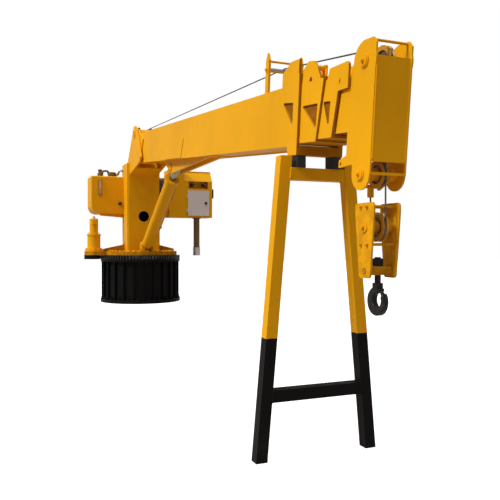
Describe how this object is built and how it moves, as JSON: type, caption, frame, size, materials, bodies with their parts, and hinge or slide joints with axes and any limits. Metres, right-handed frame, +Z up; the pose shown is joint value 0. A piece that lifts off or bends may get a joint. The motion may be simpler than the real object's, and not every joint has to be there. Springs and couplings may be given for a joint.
{
  "type": "hydraulic manipulator arm",
  "caption": "Pedestal-mounted hydraulic telescopic boom deck crane with luffing cylinder, slewing ring, winch, hook block and A-frame boom rest.",
  "frame": {"origin": "on the slew axis, at the underside of the pedestal's bolted foot flange", "axes": "+X along the stowed boom from the tower to its head, +Y towards the control cabinet, +Z up"},
  "size_m": [7.8409, 2.187, 3.4748],
  "materials": {
    "yellow": "gloss",
    "black_paint": "satin",
    "grey_panel": "satin",
    "dark_grey": "satin",
    "ring_steel": "greased",
    "pin_steel": "satin",
    "chrome_rod": "polished",
    "rope": "wire strands",
    "sheave": "machined groove",
    "wear_pad": "matte",
    "black_rubber": "matte",
    "black_plastic": "matte"
  },
  "bodies": {
    "base": {"pedestal": "black_paint", "slew_gear": "ring_steel", "rest_legs": "yellow", "rest_bars": "yellow", "rest_pads": "black_rubber"},
    "column": {"slew_race": "ring_steel", "platform": "yellow", "slew_drive": "yellow", "pinion_guard": "black_paint", "tower": "yellow", "tower_ears": "yellow", "hinge_pin": "pin_steel", "luff_foot_pin": "pin_steel", "oil_tank": "yellow", "tank_fittings": "dark_grey", "valve_block": "dark_grey", "cabinet": "yellow", "side_box": "yellow", "return_pipe": "dark_grey"},
    "pinion": {"slew_pinion": "ring_steel"},
    "door": {"door": "grey_panel"},
    "knob": {"door_knob": "black_plastic"},
    "lever_a": {"lever_1": "black_plastic"},
    "lever_b": {"lever_2": "black_plastic"},
    "boom": {"boom_base": "yellow", "luff_bracket": "yellow", "base_collar": "yellow", "pads_1": "wear_pad", "luff_head_pin": "pin_steel", "tele_rod": "pin_steel", "winch_frame": "yellow", "rope_guide": "yellow", "rope_run": "rope"},
    "roller": {"guide_roller": "pin_steel"},
    "drum": {"winch_drum": "black_paint", "rope_winding": "rope"},
    "barrel": {"luff_barrel": "yellow"},
    "rod": {"luff_rod": "chrome_rod"},
    "stage_2": {"section_2": "yellow", "nose_2": "yellow", "pads_2": "wear_pad", "tele_barrel": "pin_steel"},
    "stage_3": {"section_3": "yellow", "nose_3": "yellow", "pads_3": "wear_pad"},
    "stage_4": {"section_4": "yellow", "boom_head": "yellow", "head_axles": "pin_steel", "pads_4": "wear_pad", "rope_wrap": "rope"},
    "head_sheave": {"top_sheave": "sheave"},
    "foot_sheave": {"low_sheave": "sheave"},
    "yoke": {"rope_yoke": "yellow", "rope_falls": "rope"},
    "block": {"block_frame": "yellow", "rope_bight": "rope"},
    "fall_sheave": {"block_sheave": "sheave"},
    "crosshead": {"crosshead": "pin_steel"},
    "hook": {"hook": "black_paint"},
    "latch": {"hook_latch": "pin_steel"}
  },
  "joints": [
    {"name": "slew", "type": "hinge", "parent": "base", "child": "column", "pos_m": [0, 0, 0], "axis": [0, 0, 1], "continuous": true},
    {"name": "pinion_spin", "type": "hinge", "parent": "column", "child": "pinion", "pos_m": [0, -0.768, 0.75], "axis": [0, 0, 1], "continuous": true},
    {"name": "luff", "type": "hinge", "parent": "column", "child": "boom", "pos_m": [0.62, 0, 2.68], "axis": [0, -1, 0], "range_deg": [0, 70]},
    {"name": "luff_barrel_tilt", "type": "hinge", "parent": "column", "child": "barrel", "pos_m": [0.45, 0, 0.912], "axis": [0, -1, 0], "range_deg": [0, 35]},
    {"name": "luff_rod_tilt", "type": "hinge", "parent": "boom", "child": "rod", "pos_m": [2.24752, 0, 1.96873], "axis": [0, -1, 0], "range_deg": [-35, 0]},
    {"name": "telescope", "type": "slide", "parent": "boom", "child": "stage_4", "axis": [0.9954, 0, -0.0958], "range_m": [0, 9], "deforming": ["rope_run"]},
    {"name": "telescope_2", "type": "slide", "parent": "boom", "child": "stage_2", "axis": [0.9954, 0, -0.0958], "range_m": [0, 3]},
    {"name": "telescope_3", "type": "slide", "parent": "boom", "child": "stage_3", "axis": [0.9954, 0, -0.0958], "range_m": [0, 6]},
    {"name": "drum_spin", "type": "hinge", "parent": "boom", "child": "drum", "pos_m": [0.32042, 0, 2.6988], "axis": [0, 1, 0], "range_deg": [0, 1462]},
    {"name": "roller_spin", "type": "hinge", "parent": "boom", "child": "roller", "pos_m": [5.62563, 0, 2.39391], "axis": [0, 1, 0], "continuous": true},
    {"name": "head_sheave_spin", "type": "hinge", "parent": "stage_4", "child": "head_sheave", "pos_m": [7.05763, 0, 2.08524], "axis": [0, 1, 0], "range_deg": [0, 1330]},
    {"name": "foot_sheave_spin", "type": "hinge", "parent": "stage_4", "child": "foot_sheave", "pos_m": [7.00614, 0, 1.394], "axis": [0, 1, 0], "range_deg": [0, 1579]},
    {"name": "yoke_swing", "type": "hinge", "parent": "stage_4", "child": "yoke", "pos_m": [7.00614, 0, 1.394], "axis": [0, -1, 0], "range_deg": [-70, 0]},
    {"name": "hoist", "type": "slide", "parent": "yoke", "child": "block", "axis": [0, 0, -1], "range_m": [0, 1.1], "deforming": ["rope_falls"]},
    {"name": "fall_sheave_spin", "type": "hinge", "parent": "block", "child": "fall_sheave", "pos_m": [7.00214, 0, 1.06299], "axis": [0, 1, 0], "range_deg": [0, 754]},
    {"name": "crosshead_tilt", "type": "hinge", "parent": "block", "child": "crosshead", "pos_m": [7.00214, 0, 0.788], "axis": [0, 1, 0], "range_deg": [-25, 25]},
    {"name": "hook_swivel", "type": "hinge", "parent": "crosshead", "child": "hook", "pos_m": [7.00214, 0, 0.788], "axis": [0, 0, 1], "continuous": true},
    {"name": "latch_flap", "type": "hinge", "parent": "hook", "child": "latch", "pos_m": [7.03914, 0, 0.667], "axis": [0, 1, 0], "range_deg": [0, 33], "stiffness_Nm_per_rad": 0.6, "springref_deg": -17.19},
    {"name": "door_swing", "type": "hinge", "parent": "column", "child": "door", "pos_m": [0.164, 0.763, 1.645], "axis": [0, 0, -1], "range_deg": [0, 90]},
    {"name": "knob_turn", "type": "hinge", "parent": "door", "child": "knob", "pos_m": [0.175, 1.095, 1.645], "axis": [1, 0, 0], "range_deg": [0, 90]},
    {"name": "lever_a_tilt", "type": "hinge", "parent": "column", "child": "lever_a", "pos_m": [0.08, 0.865, 1.955], "axis": [0, 1, 0], "range_deg": [-20, 20], "stiffness_Nm_per_rad": 20},
    {"name": "lever_b_tilt", "type": "hinge", "parent": "column", "child": "lever_b", "pos_m": [0.08, 1.065, 1.955], "axis": [0, 1, 0], "range_deg": [-20, 20], "stiffness_Nm_per_rad": 20}
  ],
  "couplings": [
    {"joint": "pinion_spin", "follows": "slew", "ratio": 5},
    {"joint": "luff_barrel_tilt", "follows": "luff", "ratio": 0.5},
    {"joint": "luff_rod_tilt", "follows": "luff", "ratio": -0.5},
    {"joint": "yoke_swing", "follows": "luff", "ratio": -1},
    {"joint": "telescope_2", "follows": "telescope", "ratio": 0.33333},
    {"joint": "telescope_3", "follows": "telescope", "ratio": 0.66667},
    {"joint": "drum_spin", "follows": "hoist", "rad_per_m": 23.148},
    {"joint": "head_sheave_spin", "follows": "hoist", "rad_per_m": 21.053},
    {"joint": "foot_sheave_spin", "follows": "hoist", "rad_per_m": 25},
    {"joint": "fall_sheave_spin", "follows": "hoist", "rad_per_m": 11.905}
  ]
}
